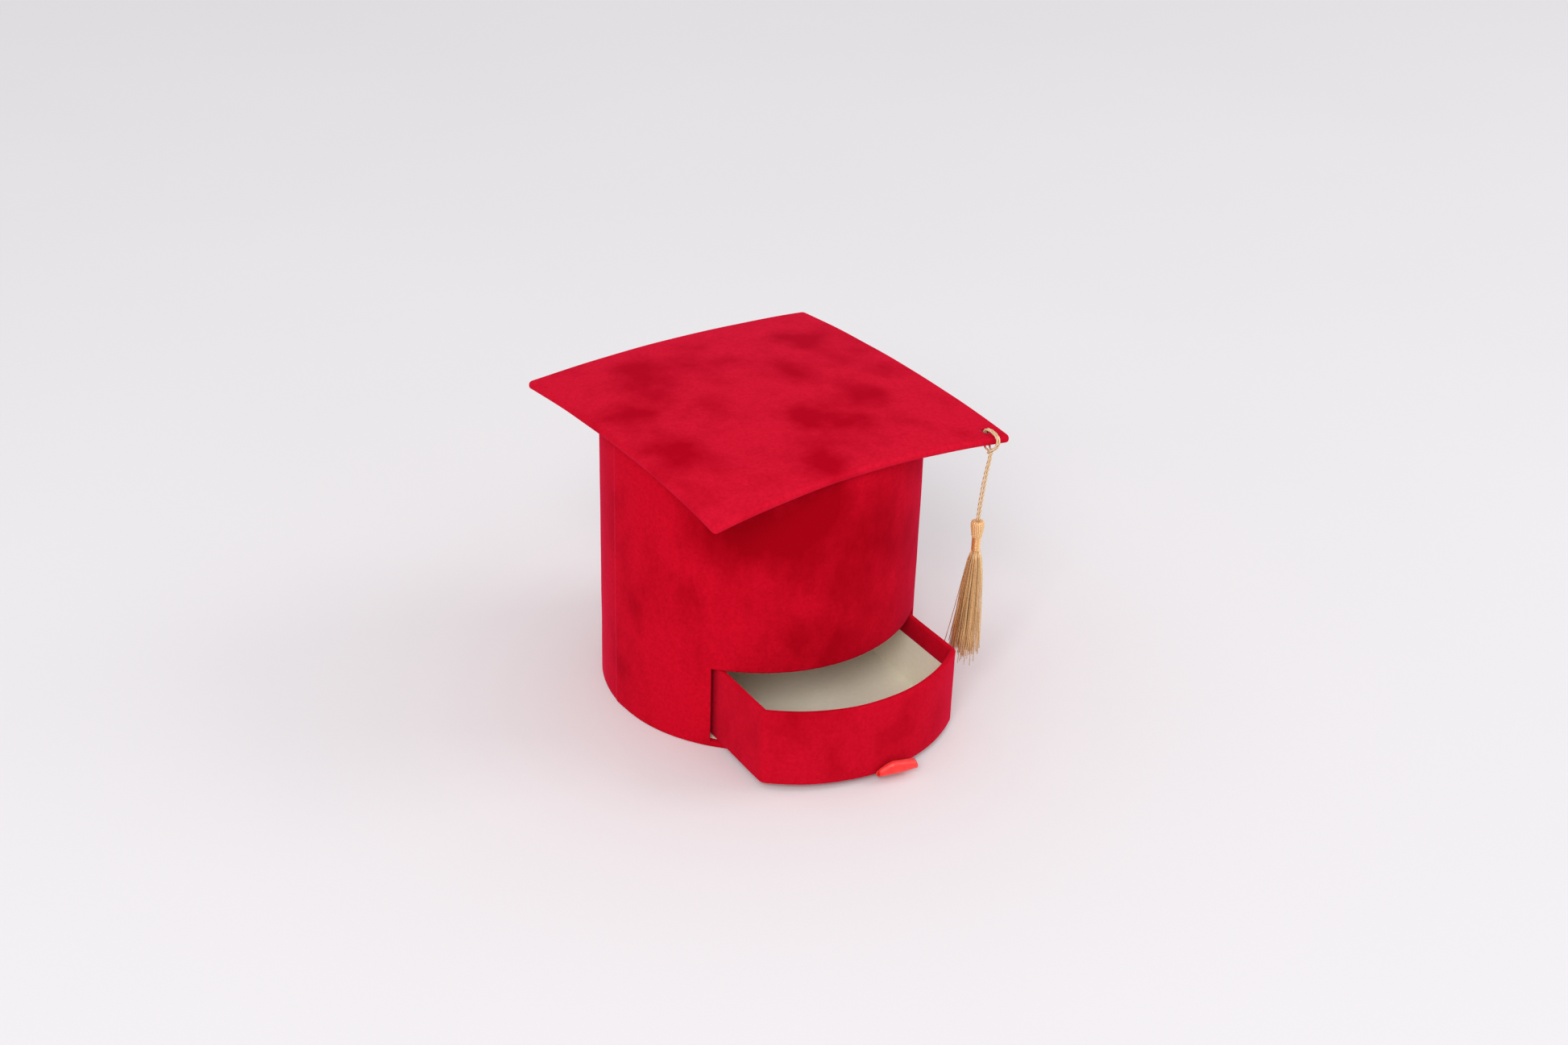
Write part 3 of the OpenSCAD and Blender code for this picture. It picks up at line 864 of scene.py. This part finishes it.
# %% Cord routes
CORD = 1.0 * MM
HITCH_HALF = [
    (69.3, -80.9, 133.3, 0.5), (69.3, -79.8, 133.5, 0.8), (69.6, -78.4, 133.9, 1.1),
    (70.1, -77.0, 134.3, 1.3), (70.6, -75.6, 134.8, 1.1), (70.9, -74.6, 135.8, 0.7),
    (71.0, -74.0, 137.2, 0.55), (71.0, -73.8, 138.8, 0.55), (71.0, -73.9, 140.2, 0.55),
    (71.1, -74.8, 141.2, 0.55), (71.3, -76.3, 141.5, 0.55), (71.6, -78.0, 141.3, 0.55),
    (71.8, -79.7, 140.8, 0.55), (71.9, -81.3, 139.9, 0.55), (71.8, -82.4, 138.6, 0.6),
    (71.4, -82.8, 137.0, 0.7), (70.8, -82.5, 135.5, 0.9), (70.1, -82.0, 134.5, 1.1)
]
HITCH_TURN = [
    (68.0, -81.1, 133.6), (68.2, -80.0, 132.4), (69.3, -79.6, 131.9), (70.4, -80.0, 132.4),
    (70.7, -81.1, 133.6)
]
HANG = [
    (69.3, -81, 132.9, 0.5), (69.0, -81, 130.5, 0.54), (68.5, -81, 128, 0.58), (68.0, -81, 125.5, 0.63),
    (67.5, -81, 123, 0.68), (67.1, -81, 120.5, 0.72), (66.7, -81, 118, 0.75), (66.4, -81, 115.5, 0.76),
    (66.1, -81, 113, 0.75), (65.8, -81, 110.5, 0.74), (65.5, -81, 108, 0.72), (65.3, -81, 105.5, 0.68),
    (65.1, -81, 103, 0.62), (64.9, -81, 99.0, 0.55)
]


def strand(side):
    return [(x + side * gap, y, z) for x, y, z, gap in HITCH_HALF]


def placed(points):
    return [in_lid @ (Vector(p) * MM) for p in points]


hitch_route = smooth_line(placed(strand(-1) + HITCH_TURN + strand(1)[::-1]), 6)
hang_routes = {
    side: smooth_line(placed([(x + way * gap, y, z) for x, y, z, gap in HANG]), 9)
    for side, way in (("left", -1), ("right", 1))
}
print("hitch", round(length_of(hitch_route), 4), "m")
print("hanging strands", [round(length_of(route), 4) for route in hang_routes.values()], "m")

# %% [markdown]
# Real cord is three plies twisted together. A bevelled curve gives only a smooth pipe, so each tube is
# swept ring by ring along its route, with three lobes that wind as it goes: a ring is extruded, moved
# on and turned to face along the line. `tone` is bright on the lobes and dark in the grooves, a painted
# shade between the plies.

# %% Sweeping a twisted cord
LOBES = 3
SIDES = 12
LAY = 2.6 * MM
LOBE_MEAN = 0.88
LOBE_DEPTH = 0.20


def swept_cord(route, name, body, stands_for):
    bm = bmesh.new()
    tone = bm.verts.layers.float.new("tone")
    bmesh.ops.create_circle(bm, cap_ends=True, segments=SIDES, radius=CORD / 2)
    ring = bm.verts[:]
    ring.sort(key=lambda v: math.atan2(v.co.y, v.co.x))
    edges = bm.edges[:]
    side = Vector((1, 0, 0))
    gone = 0.0
    for i, here in enumerate(route):
        ahead = (route[min(i + 1, len(route) - 1)] - route[max(i - 1, 0)]).normalized()
        side = (side - ahead * side.dot(ahead)).normalized()
        other = ahead.cross(side)
        if i:
            gone += (here - route[i - 1]).length
            ring, edges = next_ring(bm, ring, edges)
        for k, v in enumerate(ring):
            angle = 2 * math.pi * k / SIDES
            lobe = math.cos(LOBES * angle - 2 * math.pi * gone / LAY)
            out = CORD / 2 * (LOBE_MEAN + LOBE_DEPTH * lobe)
            v.co = here + (side * math.cos(angle) + other * math.sin(angle)) * out
            # Painted shade: the tone is deep in the grooves between the plies and pale on the lobes.
            v[tone] = 0.5 + 0.5 * lobe
    bmesh.ops.contextual_create(bm, geom=edges)
    return dress(bm, name, gold_cord, body, stands_for)


hitch = swept_cord(hitch_route, "tassel_hitch", "lid", ["hitch_cord"])
hanging = {
    side: swept_cord(route, f"hanging_strand_{side}", "tassel_cord", [f"cord_strand_{side}"])
    for side, route in hang_routes.items()
}

# %% [markdown]
# ## The tassel
# Silky threads are folded over the cord and bound. The folded part makes a small bulb, and the binding
# is a few neat turns of the same thread. Both are round, so each is a profile spun about its axis, with
# fine ribs or turns worked into it, since bump alone would leave the outline too smooth.

# %% Spinning the tassel's head
HEAD_AT = in_lid @ (Vector((64.9, -81, 0)) * MM)
HEAD_R = 3.0 * MM
HEAD_TOP = 98.9 * MM
BIND_TOP = 90.8 * MM
BIND_R = 2.15 * MM
SKIRT_TOP = 83.6 * MM
ROUND_STEPS = 96
POLE = 0.2 * MM


def spun(name, profile, ribs, depth, winding, stands_for):
    """A spun piece: profile is (radius, height) pairs, and ribs are fine threads up its side."""
    bm = bmesh.new()
    tone = bm.verts.layers.float.new("tone")
    line = [bm.verts.new((r, 0, z)) for r, z in profile]
    edges = [bm.edges.new(pair) for pair in zip(line, line[1:])]
    bmesh.ops.spin(
        bm, geom=line + edges, cent=(0, 0, 0), axis=(0, 0, 1), angle=2 * math.pi, steps=ROUND_STEPS,
        use_merge=True,
    )
    bmesh.ops.remove_doubles(bm, verts=bm.verts, dist=NEAR / 10)
    for v in bm.verts:
        out = math.hypot(v.co.x, v.co.y)
        wave = math.cos(ribs * math.atan2(v.co.y, v.co.x) + winding * v.co.z)
        if out > POLE:
            v.co.x *= 1 + depth * wave / out
            v.co.y *= 1 + depth * wave / out
        # Painted shade: the tone is pale on the crests of the ribs and deep between them.
        v[tone] = 0.5 + 0.5 * wave
    bmesh.ops.translate(bm, verts=bm.verts, vec=(HEAD_AT.x, HEAD_AT.y, 0))
    return dress(bm, name, gold_silk, "tassel", stands_for)


# %% The bulb
BULB_SHAPE = [
    (0, 0.93), (0.25, 0.96), (0.6, 1.0), (0.86, 0.97), (1.0, 0.86), (1.0, 0.68), (0.94, 0.45),
    (0.84, 0.2), (0.76, 0.0), (0.4, -0.02), (0, -0.02)
]
bulb_h = HEAD_TOP - BIND_TOP
bulb_line = smooth_line([(HEAD_R * r, 0, BIND_TOP + bulb_h * z) for r, z in BULB_SHAPE], 5)
bulb_line = [(max(p.x, 0), p.z) for p in bulb_line]
bulb = spun("tassel_bulb", bulb_line, ribs=20, depth=0.15 * MM, winding=200, stands_for=["tassel_head"])

# %% The binding
TURNS = 9
PER_TURN = 8
bind_h = BIND_TOP - SKIRT_TOP
bind_line = [(0, BIND_TOP)]
for i in range(TURNS * PER_TURN + 1):
    bulge = abs(math.sin(math.pi * i / PER_TURN))
    bind_line.append((BIND_R * (0.90 + 0.10 * bulge), BIND_TOP - bind_h * i / (TURNS * PER_TURN)))
bind_line.append((0, SKIRT_TOP))
# The binding's single rib has no depth, so it only paints its tone: pale on its +X side as painted light and
# deep on its -X side as painted shade.
binding = spun(
    "tassel_thread_binding", bind_line, ribs=1, depth=0.0, winding=0, stands_for=["tassel_binding"]
)

# %% [markdown]
# Below the binding the loose threads hang in a slim skirt with an uneven lower end. A hair system would
# not export, so each thread is its own thin tube with three sides. Threads stick together in clumps that
# share a place and a shade, the clumps are spread like seeds in a sunflower, and one thread strays.

# %% Loose threads
THREADS = 220
THREAD = 0.42 * MM
SPANS = 9
CLUMPS = 44
SKIRT_R = 7.6 * MM
SKIRT_H = 58 * MM
NECK_R = BIND_R * 0.85
TUCK = 0.6 * MM
SUNFLOWER = math.pi * (3 - math.sqrt(5))
LEAN = in_lid @ Vector((-2.2, 0.3, 0)) * MM
PAINTED_SHADE_SIDE = Vector((-0.84, 0.54, 0))
pick = random.Random(7)
bm = bmesh.new()
tone = bm.verts.layers.float.new("tone")


def thread(turn, layer, fall, wander, shade):
    """One thread: layer is 0 at the middle of the skirt and 1 at its outside."""
    edges, last = [], Vector((0, 0, 0))
    for i in range(SPANS + 1):
        t = i / SPANS
        out = layer * (NECK_R + (SKIRT_R - NECK_R) * t**0.6)
        middle = HEAD_AT + LEAN * t**1.3 + wander * t * t
        middle += Vector((math.cos(turn), math.sin(turn), 0)) * out
        middle.z = SKIRT_TOP + TUCK - (SKIRT_H * fall + TUCK) * t
        if i:
            ring, edges = next_ring(bm, ring, edges)
        else:
            ring = bmesh.ops.create_circle(bm, cap_ends=True, segments=3, radius=THREAD / 2)["verts"]
            edges = list(dict.fromkeys(e for v in ring for e in v.link_edges))
        bmesh.ops.translate(bm, vec=middle - last, verts=ring)
        for v in ring:
            v[tone] = shade
        last = middle
    bmesh.ops.contextual_create(bm, geom=edges)


clump_turn = [n * SUNFLOWER + pick.gauss(0, 0.15) for n in range(CLUMPS)]
clump_out = [math.sqrt((n + 0.7) / CLUMPS) for n in range(CLUMPS)]
clump_shade = [pick.uniform(0.15, 1) for _ in range(CLUMPS)]
for n in range(THREADS):
    clump = n % CLUMPS
    turn = clump_turn[clump] + pick.gauss(0, 0.22)
    layer = min(1.0, clump_out[clump] * pick.uniform(0.82, 1.08))
    wander = Vector((pick.gauss(0, 0.75), pick.gauss(0, 0.75), 0)) * MM
    # Painted shade: threads turned towards the side on the camera's left are made deeper, the outer ones
    # most.
    dark = max(0.0, Vector((math.cos(turn), math.sin(turn), 0)).dot(PAINTED_SHADE_SIDE))
    shade = 0.1 + clump_shade[clump] * 0.55 + pick.uniform(0, 0.55) - 0.5 * dark * layer
    fall = pick.uniform(0.83, 0.96) + 0.05 * (pick.random() < 0.15)
    thread(turn, layer, fall, wander, max(0, shade))
thread(math.radians(150), layer=0.95, fall=0.84, wander=Vector((-2.0, 0.7, 0)) * MM, shade=0.0)
dress(bm, "tassel_fringe", gold_silk, "tassel", ["tassel_skirt"])

# %% [markdown]
# ## The cord pieces
# The names of the hitch and of the two hanging strands are printed; their lengths, measured on the
# routes, are printed where the routes are made.

print("declared:", hitch.name, *[piece.name for piece in hanging.values()])

# %% [markdown]
# ## Finishes of the CAD pieces
# The boards and papers keep their CAD shapes. Each gets its finish by the slot that the record names.
# Satin needs the ribbon's UV map, which a CAD piece hasn't, so the ribbon's hidden glued end takes the
# drawer's red instead.

# %% Finishes by slot
by_slot = {
    "red_velvet": velvet_round, "cream_paper": cream_paper, "greyboard": greyboard,
    "red_satin": velvet_box, "gold_cord": gold_cord, "gold_silk": gold_silk,
}
for part in frame["record"]["subparts"]:
    mesh = nodes[part["node"]].data
    mesh.materials.clear()
    mesh.materials.append(by_slot[part["material_slot"]])
